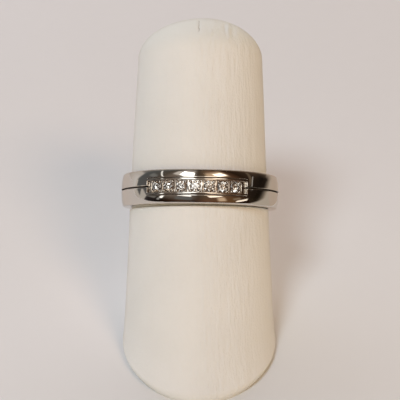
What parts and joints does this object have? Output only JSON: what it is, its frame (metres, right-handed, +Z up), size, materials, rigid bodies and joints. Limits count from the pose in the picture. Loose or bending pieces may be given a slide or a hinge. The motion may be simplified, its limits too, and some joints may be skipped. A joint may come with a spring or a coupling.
{
  "type": "wedding ring on a display finger",
  "caption": "Domed white metal wedding band with a fine middle groove and a channel of round brilliants, held by a leaning leatherette finger stand.",
  "frame": {"origin": "point of the stand's level foot, on the table, that the axis of its leaning finger passes through", "axes": "+Z up from the table; the stones face -Y and a little up; the finger leans back towards +Y; +X to the right of a viewer who faces the stones"},
  "size_m": [0.0205, 0.0413, 0.0357],
  "materials": {
    "white_gold": "polished",
    "diamond": "gloss",
    "leatherette": "matte"
  },
  "bodies": {
    "root": {"band": "white_gold", "diamond_1": "diamond", "diamond_2": "diamond", "diamond_3": "diamond", "diamond_4": "diamond", "diamond_5": "diamond", "diamond_6": "diamond", "diamond_7": "diamond", "display_finger": "leatherette"}
  },
  "joints": []
}
